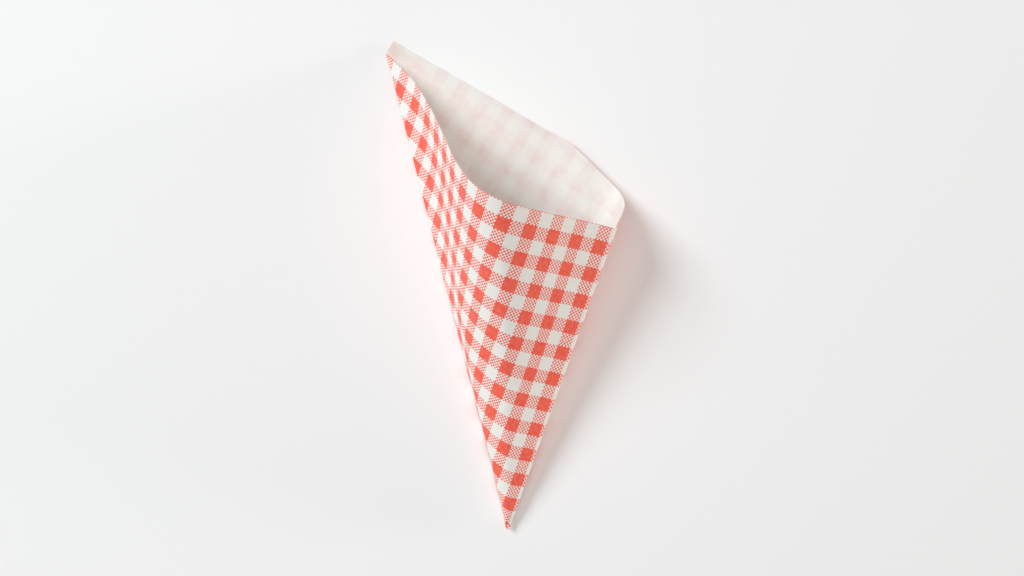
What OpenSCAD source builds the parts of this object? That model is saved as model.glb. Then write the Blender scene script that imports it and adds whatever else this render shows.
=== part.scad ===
// Paper fries bag: one sheet of greaseproof paper, folded along its left edge and
// glued along its right edge, lying on its back with the mouth pushed open.
// Both panels are made of straight lines from the tip, so they unroll flat again.

/* [Sheet] */
// Length of the front along the right edge, from the tip to the mouth
seam_l = 190; // [120:1:280]
// How far the back stands past the front on the right edge
lip_seam_h = 2.5; // [2:0.5:12]
// How far the back stands past the front from the slanted cut to the fold
lip_fold_h = 25; // [14:1:32]
// Width of the slanted cut at the right end of the back's mouth edge
slant_w = 82; // [50:1:120]
// Width of the glue flap inside the back
flap_w = 25; // [12:1:36]
// Distance from the tip at which the flap reaches its full width
flap_taper_l = 60; // [45:1:110]
// Thickness of the paper
paper_t = 0.1; // [0.06:0.02:0.3]

/* [Tip] */
// Length that is cut off the point of the tip
blunt_l = 2; // [1:0.5:6]
// Length over which the tip is pressed shut
closed_l = 12; // [8:1:25]

/* [Opened shape] */
// Bearing of the right edge, in degrees to the right of straight ahead
seam_bearing = 18.6; // [15:0.1:22]
// Bearing of the fold, in degrees to the left of straight ahead
fold_bearing = 14.3; // [11:0.1:17]
// Rise of the front at its ridge, in degrees
ridge_rise = 23.5; // [18:0.5:26]
// How far the right side bulges out past the right edge, in degrees
side_bulge = 0.7; // [0.3:0.1:2.5]
// Bearing at which the back leaves the table on the left, in degrees
rest_left = 11.5; // [8:0.5:13]
// Bearing at which the back leaves the table on the right, in degrees
rest_right = 14; // [12:0.5:18]

/* [Hidden] */

// Straight facets between two neighbouring points of a panel's curve
steps = 3;

// How far the flap ends below the mouth
flap_inset = 1;

// Rulings closer than this to a corner of the outline give way to it, in degrees
least_turn = 0.3;

// The front from the right edge to the fold: bearing as a share of the way across,
// and rise as a share of the ridge's rise
front_shares = [
    [0, 0.56], [0.11, 0.63], [0.23, 0.74], [0.35, 0.86], [0.47, 0.96], [0.6, 1],
    [0.72, 0.91], [0.79, 0.73], [0.83, 0.54], [0.87, 0.34], [0.92, 0.16], [1, 0.02]];

// The back between the fold and the table, in the same shares of the way from the
// fold to the table and of the ridge's rise
back_left_shares = [[0, 0.02], [0.5, 0.01], [1, 0]];

// The back between the table and the right edge: bearing as a share of the way from
// the table to the widest place, and rise as a share of the right edge's rise
back_right_shares = [[0, 0], [0.57, 0.07], [0.87, 0.2], [1, 0.42], [0.97, 0.7]];

back_l = seam_l + lip_seam_h;
flap_l = back_l - flap_inset;

// Unit vector of a bearing and a rise
function direction(a) = [cos(a[1]) * sin(a[0]), cos(a[1]) * cos(a[0]), sin(a[1])];

function unit(v) = v / norm(v);

// Angle between two unit vectors
function angle(a, b) = 2 * asin(norm(b - a) / 2);

// Point on the smooth curve between p1 and p2, at the share u of the way
function smooth_point(p0, p1, p2, p3, u) =
    (2 * p1 + (p2 - p0) * u + (2 * p0 - 5 * p1 + 4 * p2 - p3) * u ^ 2
        + (3 * (p1 - p2) + p3 - p0) * u ^ 3) / 2;

// Smooth curve through all points but the first and the last, which set its ends
function smooth_curve(points) = [
    for (k = [1 : len(points) - 3], s = [0 : steps - 1])
        smooth_point(points[k - 1], points[k], points[k + 1], points[k + 2], s / steps),
    points[len(points) - 2]];

// Reflection of the point b in the point a
function past(a, b) = 2 * a - b;

// The same reflection, with the rise kept, so that the curve ends level
function level_past(a, b) = [2 * a[0] - b[0], b[1]];

// Running sum of the angles between neighbours, which is the angle on the flat sheet
function flat_angles(rulings) = [
    for (k = 0, sum = 0; k < len(rulings);
        sum = sum + (k + 1 < len(rulings) ? angle(rulings[k], rulings[k + 1]) : 0), k = k + 1)
        sum];

// Vector in the plane of a and b, at the share u of the angle between them
function turned(a, b, u) =
    let (whole = angle(a, b))
    (a * sin((1 - u) * whole) + b * sin(u * whole)) / sin(whole);

// List of [vector, flat angle] with an entry at the given flat angle, which stands in for
// those right beside it
function with_ruling(list, extra) =
    let (last = len(list) - 1)
    [for (k = [0 : last]) each [
        if (k == 0 || k == last || abs(list[k][1] - extra) > least_turn) list[k],
        if (k < last && list[k][1] >= extra && extra > list[k + 1][1])
            [turned(list[k][0], list[k + 1][0],
                (list[k][1] - extra) / (list[k][1] - list[k + 1][1])), extra]]];

// Distance from the tip to a slanted line that starts at edge_l on the right edge
function to_slant(edge_l, turn) = edge_l / (cos(turn) - slant_slope * sin(turn));

// Front panel, from the right edge over the ridge to the fold
front_points = [for (s = front_shares)
    [seam_bearing - s[0] * (seam_bearing + fold_bearing), s[1] * ridge_rise]];
front_last = len(front_points) - 1;
front_vectors = [for (a = smooth_curve(concat(
    [past(front_points[0], front_points[1])], front_points,
    [past(front_points[front_last], front_points[front_last - 1])]))) direction(a)];
front_angles = flat_angles(front_vectors);
front_turn = front_angles[len(front_angles) - 1];
fold_l = seam_l / cos(front_turn);

// Back panel, from the fold over the table to the right edge
seam_rise = front_points[0][1];
left_points = [for (s = back_left_shares)
    [s[0] * (fold_bearing - rest_left) - fold_bearing, s[1] * ridge_rise]];
right_points = concat([for (s = back_right_shares)
    [rest_right + s[0] * (seam_bearing + side_bulge - rest_right), s[1] * seam_rise]],
    [front_points[0]]);
left_last = len(left_points) - 1;
right_last = len(right_points) - 1;
back_vectors = [for (a = concat(
    smooth_curve(concat([past(left_points[0], left_points[1])], left_points,
        [level_past(left_points[left_last], left_points[left_last - 1])])),
    smooth_curve(concat([level_past(right_points[0], right_points[1])], right_points,
        [past(right_points[right_last], right_points[right_last - 1])]))))
    direction(a)];
back_sums = flat_angles(back_vectors);
back_turn = back_sums[len(back_sums) - 1];
back_plain = [for (k = [0 : len(back_vectors) - 1])
    [back_vectors[k], back_turn - back_sums[k]]];

// Flat outline of the back: its corner near the fold, the end of the slanted cut, and the
// flap's two corners
corner_w = fold_l * sin(back_turn);
corner_angle = atan2(corner_w, seam_l + lip_fold_h);
slant_angle = atan2(slant_w, seam_l + lip_fold_h);
slant_slope = (lip_fold_h - lip_seam_h) / slant_w;
flap_angle = atan2(flap_w, flap_l + slant_slope * flap_w);
taper_angle = atan2(flap_w, flap_taper_l);
back_rulings = with_ruling(with_ruling(with_ruling(with_ruling(
    back_plain, corner_angle), slant_angle), flap_angle), taper_angle);

// All rulings in one ring, from the right edge over the front and back along the table
front_count = len(front_vectors);
ring = concat(front_vectors,
    [for (k = [1 : len(back_rulings) - 2]) back_rulings[k][0]]);
ring_angles = concat(front_angles,
    [for (k = [1 : len(back_rulings) - 2]) back_rulings[k][1]]);
count = len(ring);

// Distance from the tip to the mouth along each ruling
mouth_l = [for (k = [0 : count - 1])
    k < front_count ? seam_l / cos(ring_angles[k])
        : min(to_slant(back_l, ring_angles[k]), (seam_l + lip_fold_h) / cos(ring_angles[k]),
            corner_w / sin(ring_angles[k]))];

// Inward step from the outside to the inside of the paper, square to both facets
facet_normals = [for (k = [0 : count - 1])
    unit(cross(ring[(k + 1) % count], ring[k]))];
inward = [for (k = [0 : count - 1])
    let (a = facet_normals[(k + count - 1) % count], b = facet_normals[k])
    paper_t * (a + b) / (1 + a * b)];

// Middle of the ground plan, where the part's origin goes
plan = [for (k = [0 : count - 1], l = [blunt_l, mouth_l[k]]) l * ring[k],
    back_l * ring[0]];
plan_x = [for (p = plan) p[0]];
plan_y = [for (p = plan) p[1]];
middle = [min(plan_x) + max(plan_x), min(plan_y) + max(plan_y), 0] / 2;

function mean(points) = [for (p = points) 1] * points / len(points);

// Rulings that cross the flap, up to the one before the right edge
flap_first = [for (k = [front_count : count - 1]) if (ring_angles[k] == taper_angle) k][0];
flap_high = [for (k = [0 : count - 1])
    k < flap_first ? (k == 0 ? flap_l : closed_l)
        : min(to_slant(flap_l, ring_angles[k]), flap_w / sin(ring_angles[k]))];

// Lists of points, one for each ruling: the outside, the inside, and the flap's inside
// face with its upper edge and the foot of that edge
blocks = [
    [for (v = ring) blunt_l * v],
    [for (k = [0 : count - 1]) mouth_l[k] * ring[k]],
    [for (k = [0 : count - 1]) closed_l * ring[k] + inward[k]],
    [for (k = [0 : count - 1]) mouth_l[k] * ring[k] + inward[k]],
    [for (k = [0 : count - 1]) closed_l * ring[k] + 2 * inward[k]],
    [for (k = [0 : count - 1]) flap_high[k] * ring[k] + 2 * inward[k]],
    [for (k = [0 : count - 1]) flap_high[k] * ring[k] + inward[k]]];
outer_tip = 0;
outer_mouth = 1;
inner_tip = 2;
inner_mouth = 3;
flap_tip = 4;
flap_edge = 5;
flap_foot = 6;

// The back's own corner on the right edge, outside and inside, and the middles of the
// closed tip's two ends
ends = [back_l * ring[0], back_l * ring[0] + inward[0],
    mean(blocks[outer_tip]), mean(blocks[inner_tip])];
outer_end = len(blocks) * count;
inner_end = outer_end + 1;
outer_cap = outer_end + 2;
inner_cap = outer_end + 3;

// Number of a point, from its list and its ruling
function at(block, k) = block * count + k % count;

// Number of a mouth point as the strip after ruling k sees it, where the back ends
// higher than the front on the right edge
function mouth_after(block, k) =
    k < count ? at(block, k) : block == outer_mouth ? outer_end : inner_end;

// Two triangles over a strip from the edge a, b to the edge d, c
function strip(a, b, c, d) = [[a, b, c], [a, c, d]];

// Triangles from a point to each edge of a row of points
function fan(middle_point, row) = [
    for (k = [0 : len(row) - 2]) [middle_point, row[k], row[k + 1]]];

module folded_sheet() {
    last = count - 1;
    seam_inside = [at(inner_tip, 0), at(inner_mouth, 0), at(flap_foot, 0)];
    inner_ring = concat([for (k = [0 : flap_first]) at(inner_tip, k)],
        [for (k = [flap_first : count]) at(flap_tip, k)], [at(inner_tip, 0)]);
    outer_ring = [for (k = [count : -1 : 0]) at(outer_tip, k)];
    polyhedron(
        points = concat([for (block = blocks) each block], ends),
        faces = [
            // Outside and rim
            for (k = [0 : last - 1]) each strip(at(outer_tip, k), at(outer_tip, k + 1),
                at(outer_mouth, k + 1), at(outer_mouth, k)),
            each fan(at(outer_tip, last),
                [at(outer_tip, 0), at(outer_mouth, 0), outer_end, at(outer_mouth, last)]),
            for (k = [0 : last]) each strip(at(outer_mouth, k), mouth_after(outer_mouth, k + 1),
                mouth_after(inner_mouth, k + 1), at(inner_mouth, k)),
            each fan(outer_end,
                [at(outer_mouth, 0), at(inner_mouth, 0), at(flap_foot, 0), inner_end]),
            // Inside, without the strips that cross the flap
            for (k = [0 : flap_first - 2]) each strip(at(inner_tip, k), at(inner_mouth, k),
                at(inner_mouth, k + 1), at(inner_tip, k + 1)),
            each fan(at(inner_tip, flap_first - 1),
                [at(inner_mouth, flap_first - 1), at(inner_mouth, flap_first),
                    at(flap_foot, flap_first), at(inner_tip, flap_first)]),
            // Flap: its inside face, its upper edge, and the back above it
            for (k = [flap_first : last]) each concat(
                strip(at(flap_tip, k), at(flap_edge, k), at(flap_edge, k + 1), at(flap_tip, k + 1)),
                strip(at(flap_edge, k), at(flap_foot, k), at(flap_foot, k + 1), at(flap_edge, k + 1)),
                strip(at(flap_foot, k), at(inner_mouth, k), mouth_after(inner_mouth, k + 1),
                    at(flap_foot, k + 1))),
            // Flap: its two long edges
            each strip(at(inner_tip, flap_first), at(flap_foot, flap_first),
                at(flap_edge, flap_first), at(flap_tip, flap_first)),
            each fan(at(flap_tip, 0), concat([at(flap_edge, 0)], [for (k = [2 : -1 : 0]) seam_inside[k]])),
            // Closed tip
            each fan(outer_cap, outer_ring),
            each fan(inner_cap, inner_ring)],
        convexity = 6);
}

module paper_bag() {
    color("#f2d6cf")
        translate(-middle)
            folded_sheet();
}

paper_bag();
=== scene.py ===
"""Paper fries bag: one sheet of greaseproof paper with a red gingham print, folded along its left
edge and glued along its right edge, lying on its back with the mouth pushed open."""
import bisect
import math

import bmesh
import bpy
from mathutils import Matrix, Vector, noise


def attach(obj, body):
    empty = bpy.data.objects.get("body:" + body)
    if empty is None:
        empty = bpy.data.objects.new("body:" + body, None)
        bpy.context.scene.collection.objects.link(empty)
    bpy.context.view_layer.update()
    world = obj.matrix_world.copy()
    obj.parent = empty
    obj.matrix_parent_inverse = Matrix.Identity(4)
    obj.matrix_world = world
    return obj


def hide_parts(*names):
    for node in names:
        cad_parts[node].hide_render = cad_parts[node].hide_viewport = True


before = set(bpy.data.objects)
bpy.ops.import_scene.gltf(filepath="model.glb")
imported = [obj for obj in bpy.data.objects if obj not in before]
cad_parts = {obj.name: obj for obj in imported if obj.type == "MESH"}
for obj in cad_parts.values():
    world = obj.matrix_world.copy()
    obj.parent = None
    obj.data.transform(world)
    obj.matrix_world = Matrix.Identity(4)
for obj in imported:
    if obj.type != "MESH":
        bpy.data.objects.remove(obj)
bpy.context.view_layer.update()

MM = 0.001

# The blank, in millimetres
SEAM_L = 190
LIP_SEAM_H = 2.5
LIP_FOLD_H = 25
SLANT_W = 82
FLAP_W = 25
FLAP_TAPER_L = 60
FLAP_INSET = 1
PAPER_T = 0.1
BLUNT_L = 2
CLOSED_L = 12

# The opened shape, in degrees: bearings to the right of straight ahead, and rises above the table
SEAM_BEARING = 18.6
FOLD_BEARING = 14.3
RIDGE_RISE = 23.5
SIDE_BULGE = 0.7
REST_LEFT = 11.5
REST_RIGHT = 14

# Shares of those bearings and rises, for the front from the right edge to the fold near the mouth
# and near the tip, for the back from the fold to the table, and for the back from the table up to
# the right edge
FRONT_SHARES = [
    (0, 0.56), (0.11, 0.63), (0.23, 0.74), (0.35, 0.86), (0.47, 0.96), (0.6, 1),
    (0.72, 0.91), (0.79, 0.73), (0.83, 0.54), (0.87, 0.34), (0.92, 0.16), (1, 0.02)]
FRONT_TIP_SHARES = [
    (0, 0.56), (0.15, 0.62), (0.35, 0.74), (0.55, 0.82), (0.75, 0.72), (0.88, 0.58), (0.96, 0.42),
    (1, 0.02)]
BACK_LEFT_SHARES = [(0, 0.02), (0.5, 0.01), (1, 0)]
BACK_RIGHT_SHARES = [(0, 0), (0.57, 0.07), (0.87, 0.2), (1, 0.42), (0.97, 0.7)]

# Distances from the tip between which the front goes from the one shape to the other
TIP_SHAPE_L = 60
MOUTH_SHAPE_L = 240

# The glue: gap between flap and back, how far the flap's free edge has come loose, the share of
# the flap's width at which that starts, and the distances from the tip over which it grows
FLAP_GAP = 0.13
FLAP_LIFT = 0.5
FLAP_LOOSE_SHARE = 0.88
FLAP_LOOSE_L = (40, 120)

# The tip: how blunt it is, the share of its height left where it is pressed flat, its middle as a
# bearing and a rise, how far it has curled up from the table, and over what length
TIP_ROUND = 4
TIP_PRESSED = 0.2
TIP_MIDDLE = (2, 4)
TIP_LIFT = 3
TIP_LIFT_L = 110

# Angle on the flat sheet between the back's cut edge and the flap's fold beside it, in degrees
EDGE_TURN = 0.1

# The back's lip: how far it has curled up, the angles in degrees from the right edge over which
# the curl grows and goes, and the distances from the tip over which it grows
LIP_RISE = 7
LIP_GROWS = (3, 13)
LIP_GOES = (26, 14)
LIP_L = (120, 235)

# The back's lift from the table: its mean, the angles and distances as for the lip, and the width
# in degrees and length of its waves
BACK_LIFT = 0.5
LIFT_GROWS = (12, 18)
LIFT_GOES = (45, 38)
LIFT_L = (90, 260)
LIFT_WAVE_TURN = 7
LIFT_WAVE_L = 50

# Soft dents in the front: height, number across the front and length, and the distances from the
# tip over which they grow
DENTS = [(0.55, 4, 90), (0.16, 17, 40)]
DENT_L = (30, 190)

# Fineness of the mesh, and the angle in degrees above which an edge is a crease
CURVE_STEPS = 16
FRONT_COLUMNS = 120
CORNER_COLUMNS = 4
BACK_COLUMNS = 54
SLANT_COLUMNS = 56
FLAP_COLUMNS = 40
ROWS = 150
FLAP_TOP_ROWS = 6
CREASE_ANGLE = 35

# The print, in millimetres: side of a check, side of a dot in the half-tone checks, and the
# middle of the first red check, counted from the tip along and away from the right edge. The dots
# are drawn as coarse as they need to show: real ones are about half as wide
CHECK = 8
DOT = 1.1
FIRST_RED_X = 5.8
FIRST_RED_Y = 17.6
PERIOD = 2 * CHECK
PRINT_MAP = "sheet"

# The material slots: the printed side, the plain side, and the plain side of two layers
PRINTED, PLAIN, DOUBLE = range(3)

# Grain of the ink and the paper, in millimetres: how far the edges of checks and dots wander and
# over what length, patches of thin ink, clouds of pulp and of print that shows through, half the
# width of the line at the flap's edge, which is painted shade with a glue mark, and the fibres'
# spacing and height
CHECK_WANDER = 0.3
DOT_WANDER = 0.6
INK_EDGE_GRAIN = 0.7
INK_PATCH = 2.4
PULP_CLOUD = 6
SHOW_CLOUD = 9
FLAP_SHADE_AND_GLUE_LINE = 0.6
FIBRE = 0.5
FIBRE_H = 0.02

# The ink's thinnest cover, how much of the print shows through one layer and through two, how
# strongly the painted shade and glue line at the flap's edge shows, and the strength of the fibres' bump
INK_THIN = 0.86
SHOW_LEAST = 0.07
SHOW_MOST = 0.34
DOUBLE_CLEARNESS = 0.1
FLAP_SHADE_AND_GLUE_SEEN = 0.5
FIBRE_BUMP = 0.35

# How far each side scatters light, and the paper's index of refraction
PAPER_ROUGHNESS = 0.62
INK_ROUGHNESS = 0.5
PLAIN_ROUGHNESS = 0.6
TABLE_ROUGHNESS = 0.8
PAPER_IOR = 1.47

PAPER_LIGHT = "#faf7f1"
PAPER_DARK = "#f3f0ea"
PLAIN_LIGHT = "#f0ede8"
PLAIN_DARK = "#e9e6e0"
RED_INK = "#fa5030"
SHOW_THROUGH = "#e4c2c0"
TABLE = "#fcfcfc"
BACKDROP = "#eff0f0"

# The camera, straight above the table, in millimetres, and the picture's scale at the table in
# pixels for each millimetre
CAMERA_X = 4.8
CAMERA_Y = -2
CAMERA_H = 640
SCALE_PX = 1.7
IMAGE_W_PX = 1024
SENSOR_W = 36

# The table, in millimetres
TABLE_HALF_W = 1500
TABLE_GAP = 0.05

# The lamps: place and width in metres, power in watts, and colour
LAMPS = {
    "window": ((-2.7, 1.75, 2.65), 2.2, 126.5, "#f4faff"),
    "ceiling": ((0, 0, 2.5), 2.5, 21, "#fffcf8"),
    "card": ((3.2, 0.4, 0.25), 0.5, 53, "#fff6f0")}
SKY = "#fff9f3"
SKY_STRENGTH = 0.17


def smooth_share(start, end, value):
    """0 at start and before it, 1 at end and past it, and a smooth step between."""
    share = min(max((value - start) / (end - start), 0), 1)
    return share * share * (3 - 2 * share)


def direction(point):
    """Unit vector of a bearing and a rise in degrees."""
    bearing, rise = (math.radians(angle) for angle in point)
    return Vector((
        math.cos(rise) * math.sin(bearing), math.cos(rise) * math.cos(bearing), math.sin(rise)))


def smooth_curve(points):
    """Smooth curve through all points but the first and the last, which set its ends."""
    curve = []
    for p0, p1, p2, p3 in zip(points, points[1:], points[2:], points[3:]):
        for step in range(CURVE_STEPS):
            u = step / CURVE_STEPS
            curve.append((
                2 * p1 + (p2 - p0) * u + (2 * p0 - 5 * p1 + 4 * p2 - p3) * u ** 2
                + (3 * (p1 - p2) + p3 - p0) * u ** 3) / 2)
    return curve + [points[-2]]


class Panel:
    """A run of straight lines from the tip, each found by its angle on the flat sheet."""

    def __init__(self, points):
        self.lines = [direction(point) for point in points]
        self.turns = [0]
        for line, after in zip(self.lines, self.lines[1:]):
            self.turns.append(self.turns[-1] + math.degrees(line.angle(after)))
        self.whole = self.turns[-1]

    def line(self, turn):
        """Unit vector at an angle on the flat sheet, in degrees from the right edge."""
        turn = min(max(turn, 0), self.whole)
        k = min(max(bisect.bisect(self.turns, turn), 1), len(self.turns) - 1)
        share = (turn - self.turns[k - 1]) / (self.turns[k] - self.turns[k - 1])
        return self.lines[k - 1].slerp(self.lines[k], share)

    def inward(self, turn, nudge=0.2):
        """Unit vector from the back into the bag."""
        across = self.line(turn + nudge) - self.line(turn - nudge)
        return self.line(turn).cross(across).normalized()


def front_panel(shares):
    """The front, from the right edge over the ridge to the fold."""
    points = [
        Vector((SEAM_BEARING - across * (SEAM_BEARING + FOLD_BEARING), up * RIDGE_RISE))
        for across, up in shares]
    return Panel(smooth_curve(
        [2 * points[0] - points[1]] + points + [2 * points[-1] - points[-2]]))


def back_panel():
    """The back, from the right edge down to the table and along it to the fold."""
    seam_rise = FRONT_SHARES[0][1] * RIDGE_RISE
    left = [
        Vector((across * (FOLD_BEARING - REST_LEFT) - FOLD_BEARING, up * RIDGE_RISE))
        for across, up in BACK_LEFT_SHARES]
    right = [
        Vector((REST_RIGHT + across * (SEAM_BEARING + SIDE_BULGE - REST_RIGHT), up * seam_rise))
        for across, up in BACK_RIGHT_SHARES]
    right.append(Vector((SEAM_BEARING, seam_rise)))
    left_end = Vector((2 * left[-1].x - left[-2].x, left[-2].y))
    right_end = Vector((2 * right[0].x - right[1].x, right[1].y))
    points = smooth_curve([2 * left[0] - left[1]] + left + [left_end])
    points += smooth_curve([right_end] + right + [2 * right[-1] - right[-2]])
    return Panel(points[::-1])


FRONT = front_panel(FRONT_SHARES)
FRONT_TIP = front_panel(FRONT_TIP_SHARES)
BACK = back_panel()
FOLD_L = SEAM_L / math.cos(math.radians(FRONT.whole))
CORNER_W = FOLD_L * math.sin(math.radians(BACK.whole))
CORNER_TURN = math.degrees(math.atan2(CORNER_W, SEAM_L + LIP_FOLD_H))
SLANT_TURN = math.degrees(math.atan2(SLANT_W, SEAM_L + LIP_FOLD_H))
SLANT_SLOPE = (LIP_FOLD_H - LIP_SEAM_H) / SLANT_W
BACK_L = SEAM_L + LIP_SEAM_H
FLAP_L = BACK_L - FLAP_INSET
FLAP_TURN = math.degrees(math.atan2(FLAP_W, FLAP_TAPER_L))


def front_mouth(turn):
    """Distance from the tip to the mouth of the front."""
    return SEAM_L / math.cos(math.radians(turn))


def to_slant(edge_l, turn):
    """Distance from the tip to a slanted line that starts at edge_l on the right edge."""
    angle = math.radians(turn)
    return edge_l / (math.cos(angle) - SLANT_SLOPE * math.sin(angle))


def back_mouth(turn):
    """Distance from the tip to the mouth of the back: its slanted cut, its straight cut, or its
    short edge near the fold."""
    if turn < SLANT_TURN:
        return to_slant(BACK_L, turn)
    if turn < CORNER_TURN:
        return (SEAM_L + LIP_FOLD_H) / math.cos(math.radians(turn))
    return CORNER_W / math.sin(math.radians(turn))


def front_print(turn, radius):
    """Place on the print for a point of the front: away from and along the right edge."""
    angle = math.radians(turn)
    return Vector((radius * math.sin(angle), radius * math.cos(angle)))


def back_print(turn, radius):
    """Place on the print for a point of the back, which meets the front's at both edges."""
    share = turn / BACK.whole
    place = front_print(share * FRONT.whole, radius)
    return Vector((-place.x - share * (PERIOD - 2 * FIRST_RED_X), place.y))


def even(first, last, count):
    """Evenly spaced values from first up to, but not including, last."""
    return [first + (last - first) * k / count for k in range(count)]


def sheet_line(panel, turn, radius):
    """Unit vector from the tip to a point of the sheet. The front is rounder near the tip."""
    if panel is BACK:
        return BACK.line(turn)
    tip_line = FRONT_TIP.line(turn * FRONT_TIP.whole / FRONT.whole)
    return tip_line.slerp(FRONT.line(turn), smooth_share(TIP_SHAPE_L, MOUTH_SHAPE_L, radius))


def set_down(point, radius):
    """The point with the tip made blunt, pressed flat, and lifted from the table."""
    middle = direction(TIP_MIDDLE) * radius
    spread = (point - middle) * math.hypot(radius, TIP_ROUND) / radius
    spread.z *= TIP_PRESSED + (1 - TIP_PRESSED) * smooth_share(BLUNT_L, CLOSED_L, radius)
    lift = TIP_LIFT * (1 - smooth_share(0, TIP_LIFT_L, radius))
    return middle + spread + Vector((0, 0, lift))


def wave(across, along, seed):
    """Slow noise between -1 and 1 over the sheet."""
    return noise.noise(Vector((across, along, seed)))


def front_swell(turn, radius):
    """How far the front stands out of its even shape: soft dents along its straight lines."""
    share = turn / FRONT.whole
    held = math.sin(math.pi * share) * smooth_share(*DENT_L, radius)
    return held * sum(
        height * wave(across * share, radius / length, seed)
        for seed, (height, across, length) in enumerate(DENTS, 1))


def back_lift(turn, radius):
    """How far the back lifts from the table, most of all near the mouth."""
    held = smooth_share(*LIFT_GROWS, turn) * smooth_share(*LIFT_GOES, turn)
    waves = 1 + wave(turn / LIFT_WAVE_TURN, radius / LIFT_WAVE_L, len(DENTS) + 1)
    return BACK_LIFT * held * smooth_share(*LIFT_L, radius) * waves


def lip_rise(turn, radius):
    """How far the back's lip has curled up, between the right edge and where it lies flat."""
    curl = smooth_share(*LIP_GROWS, turn) * smooth_share(*LIP_GOES, turn)
    return LIP_RISE * curl * smooth_share(*LIP_L, radius)


def grid_places(bm, columns, rows):
    """Add a grid to the mesh, and list its vertices with their columns and rows."""
    made = bmesh.ops.create_grid(bm, x_segments=columns, y_segments=rows, size=0.5)
    return [
        (vert, round((vert.co.x + 0.5) * columns), round((vert.co.y + 0.5) * rows))
        for vert in made["verts"]]


def fold_sheet(bm, print_layer):
    """Front and back: a grid over the flat sheet, folded to its opened shape. Returns the
    vertices of the right edge of the front, from the tip to the mouth."""
    columns = [(FRONT, turn) for turn in even(0, FRONT.whole, FRONT_COLUMNS)]
    columns += [(BACK, turn) for turn in even(BACK.whole, CORNER_TURN, CORNER_COLUMNS)]
    columns += [(BACK, turn) for turn in even(CORNER_TURN, SLANT_TURN, BACK_COLUMNS)]
    columns += [(BACK, turn) for turn in even(SLANT_TURN, EDGE_TURN, SLANT_COLUMNS)]
    columns.append((BACK, EDGE_TURN))
    places = {}
    seam = {}
    for vert, column, row in grid_places(bm, len(columns) - 1, ROWS):
        panel, turn = columns[column]
        mouth = front_mouth(turn) if panel is FRONT else back_mouth(turn)
        radius = BLUNT_L + (mouth - BLUNT_L) * row / ROWS
        vert.co = set_down(sheet_line(panel, turn, radius) * radius, radius)
        places[vert] = (panel, turn, radius)
        if column == 0:
            seam[row] = vert
    bmesh.ops.reverse_faces(bm, faces=bm.faces)
    bm.normal_update()
    for vert, (panel, turn, radius) in places.items():
        if panel is FRONT:
            vert.co += vert.normal * front_swell(turn, radius)
        else:
            vert.co -= vert.normal * back_lift(turn, radius)
            vert.co.z += lip_rise(turn, radius)
    for face in bm.faces:
        on_front = any(places[vert][0] is FRONT for vert in face.verts)
        for loop in face.loops:
            panel, turn, radius = places[loop.vert]
            if on_front:
                place = front_print(turn if panel is FRONT else FRONT.whole, radius)
            else:
                place = back_print(turn, radius)
            loop[print_layer].uv = place * MM
    return [seam[row] for row in range(ROWS + 1)]


def fold_flap(bm, print_layer, seam):
    """The glue flap: turned in from the right edge of the front, and stuck to the back."""
    low = next(row for row, vert in enumerate(seam) if vert.co.length > CLOSED_L)
    step = (SEAM_L - BLUNT_L) / ROWS
    radii = [BLUNT_L + step * row for row in range(low, ROWS + 1)]
    radii += even(SEAM_L, FLAP_L, FLAP_TOP_ROWS)[1:] + [FLAP_L]
    first = radii[0]
    old_faces = set(bm.faces)
    welds = {}
    places = {}
    for vert, column, row in grid_places(bm, FLAP_COLUMNS, len(radii) - 1):
        share = column / FLAP_COLUMNS
        seam_radius = radii[row]
        widest = math.degrees(math.asin(min(FLAP_W / seam_radius, math.sin(math.radians(FLAP_TURN)))))
        turn = share * widest
        reach = (to_slant(FLAP_L, turn) - first) / (FLAP_L - first)
        radius = first + (seam_radius - first) * reach
        loose = smooth_share(FLAP_LOOSE_SHARE, 1, share) * smooth_share(*FLAP_LOOSE_L, radius)
        inset = FLAP_GAP + FLAP_LIFT * loose if column else 0
        vert.co = set_down(BACK.line(turn) * radius + BACK.inward(turn) * inset, radius)
        vert.co.z += lip_rise(turn, radius)
        places[vert] = (turn, radius)
        if column == 0 and low + row <= ROWS:
            welds[vert] = seam[low + row]
    for face in set(bm.faces) - old_faces:
        for loop in face.loops:
            turn, radius = places[loop.vert]
            loop[print_layer].uv = front_print(-turn, radius) * MM
        face.material_index = DOUBLE
    bmesh.ops.weld_verts(bm, targetmap=welds)


def make_bag(materials):
    """The whole bag: the folded sheet with its thickness, printed outside and plain inside."""
    bm = bmesh.new()
    print_layer = bm.loops.layers.uv.new(PRINT_MAP)
    seam = fold_sheet(bm, print_layer)
    fold_flap(bm, print_layer, seam)
    bm.normal_update()
    outside = set(bm.faces)
    wall = bmesh.ops.solidify(bm, geom=bm.faces[:], thickness=PAPER_T)
    inside = set(wall["geom"])
    for face in bm.faces:
        face.smooth = True
        if face in outside:
            face.material_index = PRINTED
        elif face not in inside:
            face.material_index = DOUBLE
        elif face.material_index != DOUBLE:
            face.material_index = PLAIN
    bm.normal_update()
    for edge in bm.edges:
        edge.smooth = edge.calc_face_angle(0) < math.radians(CREASE_ANGLE)
    xs = [vert.co.x for vert in bm.verts]
    ys = [vert.co.y for vert in bm.verts]
    middle = Vector((min(xs) + max(xs), min(ys) + max(ys), 0)) / 2
    bmesh.ops.translate(bm, verts=bm.verts, vec=-middle)
    bmesh.ops.scale(bm, verts=bm.verts, vec=(MM, MM, MM))
    mesh = bpy.data.meshes.new("folded_paper_bag")
    bm.to_mesh(mesh)
    bm.free()
    for material in materials:
        mesh.materials.append(material)
    bag = bpy.data.objects.new("folded_paper_bag", mesh)
    bpy.context.scene.collection.objects.link(bag)
    return bag


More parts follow.
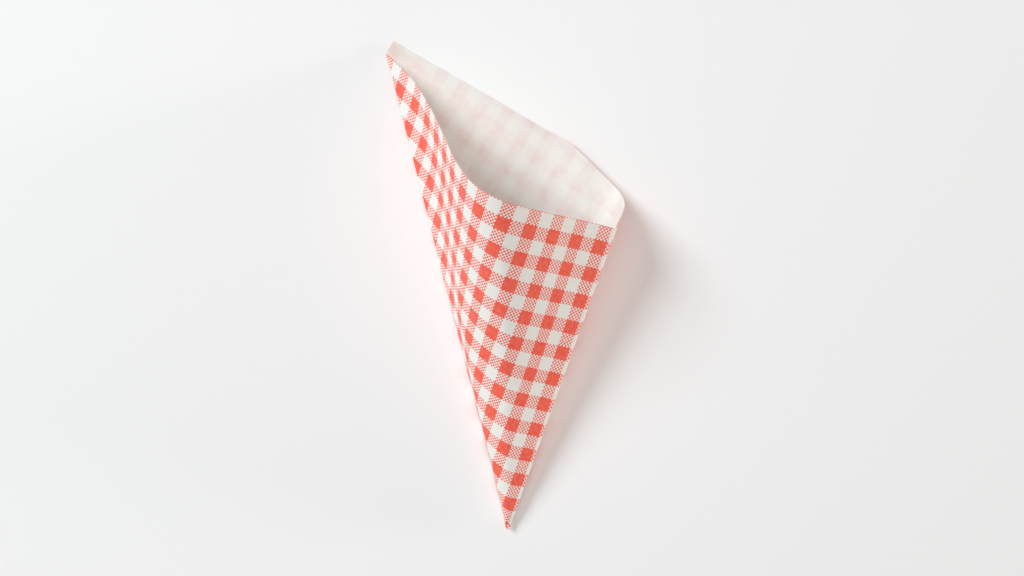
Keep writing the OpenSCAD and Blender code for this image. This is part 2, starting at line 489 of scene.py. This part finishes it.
def linear(hex_colour):
    """sRGB hex colour as linear red, green, blue and alpha."""
    parts = [int(hex_colour[k:k + 2], 16) / 255 for k in (1, 3, 5)]
    return [c / 12.92 if c <= 0.04045 else ((c + 0.055) / 1.055) ** 2.4 for c in parts] + [1]


def add_node(tree, kind, inputs=None, **settings):
    """Add a node with its settings, and give each input a value or a link."""
    node = tree.nodes.new(kind)
    for name, value in settings.items():
        setattr(node, name, value)
    for name, value in (inputs or {}).items():
        if isinstance(value, bpy.types.NodeSocket):
            tree.links.new(value, node.inputs[name])
        else:
            node.inputs[name].default_value = value
    return node


def start_material(name, dark, light):
    """A new material with an empty tree, the print's place, and the paper's clouded colour."""
    material = bpy.data.materials.new(name)
    material.use_nodes = True
    tree = material.node_tree
    tree.nodes.clear()
    sheet = add_node(tree, "ShaderNodeUVMap", uv_map=PRINT_MAP).outputs["UV"]
    pulp = add_node(tree, "ShaderNodeTexNoise", {
        "Vector": sheet, "Scale": 1 / (PULP_CLOUD * MM), "Detail": 5, "Roughness": 0.6})
    paper = add_node(tree, "ShaderNodeMix", {
        0: pulp.outputs["Fac"], 6: linear(dark), 7: linear(light)}, data_type="RGBA")
    return material, tree, sheet, paper.outputs[2]


def finish_material(tree, sheet, colour, roughness):
    """Shader of matt paper, with the fine bump of its fibres."""
    fibres = add_node(tree, "ShaderNodeTexNoise", {
        "Vector": sheet, "Scale": 1 / (FIBRE * MM), "Detail": 3, "Roughness": 0.6})
    bump = add_node(tree, "ShaderNodeBump", {
        "Strength": FIBRE_BUMP, "Distance": FIBRE_H * MM, "Height": fibres.outputs["Fac"]})
    shader = add_node(tree, "ShaderNodeBsdfPrincipled", {
        "Base Color": colour, "Roughness": roughness, "IOR": PAPER_IOR,
        "Normal": bump.outputs["Normal"]})
    add_node(tree, "ShaderNodeOutputMaterial", {"Surface": shader.outputs["BSDF"]})


def printed_paper():
    """Greaseproof paper, printed with one red ink from a rubber plate: a matt sheet with crisp
    checks, half-tone checks of fine dots, and ink that covers a little patchily."""
    material, tree, sheet, paper = start_material(
        "greaseproof_paper_printed", PAPER_DARK, PAPER_LIGHT)
    grain = add_node(tree, "ShaderNodeTexNoise", {
        "Vector": sheet, "Scale": 1 / (INK_EDGE_GRAIN * MM), "Detail": 2})
    centred = add_node(tree, "ShaderNodeVectorMath", {
        0: grain.outputs["Color"], 1: (0.5, 0.5, 0.5)}, operation="SUBTRACT")
    ragged, blotted = (
        add_node(tree, "ShaderNodeVectorMath", {
            0: centred.outputs[0], 1: (wander * MM, wander * MM, 0), 2: sheet}, operation="MULTIPLY_ADD")
        for wander in (CHECK_WANDER, DOT_WANDER))
    place = add_node(tree, "ShaderNodeSeparateXYZ", {0: ragged.outputs[0]})
    stripes = []
    for axis, first in (("X", FIRST_RED_X), ("Y", FIRST_RED_Y)):
        periods = add_node(tree, "ShaderNodeMath", {
            0: place.outputs[axis], 1: 1 / (PERIOD * MM), 2: (CHECK / 2 - first) / PERIOD},
            operation="MULTIPLY_ADD")
        within = add_node(tree, "ShaderNodeMath", {0: periods.outputs[0]}, operation="FRACT")
        stripe = add_node(tree, "ShaderNodeMath", {
            0: within.outputs[0], 1: CHECK / PERIOD}, operation="LESS_THAN")
        stripes.append(stripe.outputs[0])
    both = add_node(tree, "ShaderNodeMath", dict(enumerate(stripes)), operation="MULTIPLY")
    either = add_node(tree, "ShaderNodeMath", dict(enumerate(stripes)), operation="SUBTRACT")
    half = add_node(tree, "ShaderNodeMath", {0: either.outputs[0]}, operation="ABSOLUTE")
    dots = add_node(tree, "ShaderNodeTexChecker", {
        "Vector": blotted.outputs[0], "Scale": 1 / (DOT * MM)})
    ink = add_node(tree, "ShaderNodeMath", {
        0: half.outputs[0], 1: dots.outputs["Fac"], 2: both.outputs[0]}, operation="MULTIPLY_ADD")
    patches = add_node(tree, "ShaderNodeTexNoise", {
        "Vector": sheet, "Scale": 1 / (INK_PATCH * MM), "Detail": 4, "Roughness": 0.65})
    cover = add_node(tree, "ShaderNodeMapRange", {
        "Value": patches.outputs["Fac"], "From Min": 0.3, "From Max": 0.7,
        "To Min": INK_THIN, "To Max": 1})
    coverage = add_node(tree, "ShaderNodeMath", {
        0: ink.outputs[0], 1: cover.outputs["Result"]}, operation="MULTIPLY")
    colour = add_node(tree, "ShaderNodeMix", {
        0: coverage.outputs[0], 6: paper, 7: linear(RED_INK)}, data_type="RGBA")
    roughness = add_node(tree, "ShaderNodeMapRange", {
        "Value": ink.outputs[0], "To Min": PAPER_ROUGHNESS, "To Max": INK_ROUGHNESS})
    finish_material(tree, sheet, colour.outputs[2], roughness.outputs["Result"])
    return material


def plain_paper(name, clearness):
    """The unprinted side of the same sheet: warm white, with the print showing through as faint,
    blurred pink checks where the paper is clearer, and a painted shade line, with a glue mark, at the
    flap's edge."""
    material, tree, sheet, paper = start_material(name, PLAIN_DARK, PLAIN_LIGHT)
    place = add_node(tree, "ShaderNodeSeparateXYZ", {0: sheet})
    waves = []
    for axis, first in (("X", FIRST_RED_X), ("Y", FIRST_RED_Y)):
        turn = add_node(tree, "ShaderNodeMath", {
            0: place.outputs[axis], 1: math.tau / (PERIOD * MM), 2: -math.tau * first / PERIOD},
            operation="MULTIPLY_ADD")
        wave_node = add_node(tree, "ShaderNodeMath", {0: turn.outputs[0]}, operation="COSINE")
        soft = add_node(tree, "ShaderNodeMapRange", {
            "Value": wave_node.outputs[0], "From Min": -0.7, "From Max": 0.7},
            interpolation_type="SMOOTHSTEP")
        waves.append(soft.outputs["Result"])
    print_seen = add_node(tree, "ShaderNodeMath", dict(enumerate(waves)), operation="ADD")
    clouds = add_node(tree, "ShaderNodeTexNoise", {
        "Vector": sheet, "Scale": 1 / (SHOW_CLOUD * MM), "Detail": 6, "Roughness": 0.65})
    clear = add_node(tree, "ShaderNodeMapRange", {
        "Value": clouds.outputs["Fac"], "From Min": 0.36, "From Max": 0.68,
        "To Min": SHOW_LEAST * clearness, "To Max": SHOW_MOST * clearness})
    # Painted shade, with a glue mark: a thin line of the show-through colour along the flap's free edge,
    # only where two layers lie
    flap_shade_and_glue_band = add_node(tree, "ShaderNodeMath", {
        0: place.outputs["X"], 1: -FLAP_W * MM, 2: FLAP_SHADE_AND_GLUE_LINE * MM}, operation="COMPARE")
    flap_shade_and_glue = add_node(tree, "ShaderNodeMath", {
        0: flap_shade_and_glue_band.outputs[0], 1: FLAP_SHADE_AND_GLUE_SEEN * (1 - clearness)}, operation="MULTIPLY")
    amount = add_node(tree, "ShaderNodeMath", {
        0: print_seen.outputs[0], 1: clear.outputs["Result"], 2: flap_shade_and_glue.outputs[0]},
        operation="MULTIPLY_ADD")
    colour = add_node(tree, "ShaderNodeMix", {
        0: amount.outputs[0], 6: paper, 7: linear(SHOW_THROUGH)}, data_type="RGBA")
    finish_material(tree, sheet, colour.outputs[2], PLAIN_ROUGHNESS)
    return material


def make_table():
    """A wide pale table under the bag."""
    bm = bmesh.new()
    bmesh.ops.create_grid(bm, x_segments=1, y_segments=1, size=TABLE_HALF_W * MM)
    bmesh.ops.translate(bm, verts=bm.verts, vec=(0, 0, -TABLE_GAP * MM))
    mesh = bpy.data.meshes.new("table")
    bm.to_mesh(mesh)
    bm.free()
    material = bpy.data.materials.new("pale_table")
    material.use_nodes = True
    shader = material.node_tree.nodes["Principled BSDF"]
    shader.inputs["Base Color"].default_value = linear(TABLE)
    shader.inputs["Roughness"].default_value = TABLE_ROUGHNESS
    mesh.materials.append(material)
    table = bpy.data.objects.new("table", mesh)
    bpy.context.scene.collection.objects.link(table)
    return table


def add_lamp(name, place, size, power, colour):
    """A round, soft lamp that points at the middle of the scene."""
    lamp = bpy.data.lights.new(name, "AREA")
    lamp.shape = "DISK"
    lamp.size = size
    lamp.energy = power
    lamp.color = linear(colour)[:3]
    lamp_object = bpy.data.objects.new(name, lamp)
    lamp_object.location = place
    lamp_object.rotation_euler = Vector(place).to_track_quat("Z", "Y").to_euler()
    bpy.context.scene.collection.objects.link(lamp_object)


def light_scene():
    """A large soft lamp from the upper left, one from above, a card on the right that throws light
    back, and an even sky, which looks paler than the light that it gives."""
    for name, lamp in LAMPS.items():
        add_lamp(name, *lamp)
    world = bpy.data.worlds.new("sky")
    world.use_nodes = True
    tree = world.node_tree
    tree.nodes.clear()
    ray = add_node(tree, "ShaderNodeLightPath").outputs
    seen = add_node(tree, "ShaderNodeMath", {
        0: ray["Is Camera Ray"], 1: ray["Is Glossy Ray"]}, operation="MAXIMUM")
    shown = add_node(tree, "ShaderNodeMath", {
        0: seen.outputs[0], 1: ray["Is Transmission Ray"]}, operation="MAXIMUM")
    sky = add_node(tree, "ShaderNodeBackground", {
        "Color": linear(SKY), "Strength": SKY_STRENGTH})
    backdrop = add_node(tree, "ShaderNodeBackground", {"Color": linear(BACKDROP)})
    either = add_node(tree, "ShaderNodeMixShader", {
        0: shown.outputs[0], 1: sky.outputs[0], 2: backdrop.outputs[0]})
    add_node(tree, "ShaderNodeOutputWorld", {"Surface": either.outputs[0]})
    bpy.context.scene.world = world


def make_camera():
    """The camera straight above the bag, with +Y upwards in the picture."""
    camera = bpy.data.cameras.new("camera")
    camera.sensor_width = SENSOR_W
    camera.lens = SCALE_PX * CAMERA_H * SENSOR_W / IMAGE_W_PX
    camera_object = bpy.data.objects.new("camera", camera)
    camera_object.location = (CAMERA_X * MM, CAMERA_Y * MM, CAMERA_H * MM)
    bpy.context.scene.collection.objects.link(camera_object)
    bpy.context.scene.camera = camera_object


bag = make_bag([
    printed_paper(),
    plain_paper("greaseproof_paper_plain", 1),
    plain_paper("greaseproof_paper_double", DOUBLE_CLEARNESS)])
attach(bag, "root")
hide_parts("paper_bag")
make_table()
light_scene()
make_camera()
bpy.context.scene.view_settings.view_transform = "Standard"
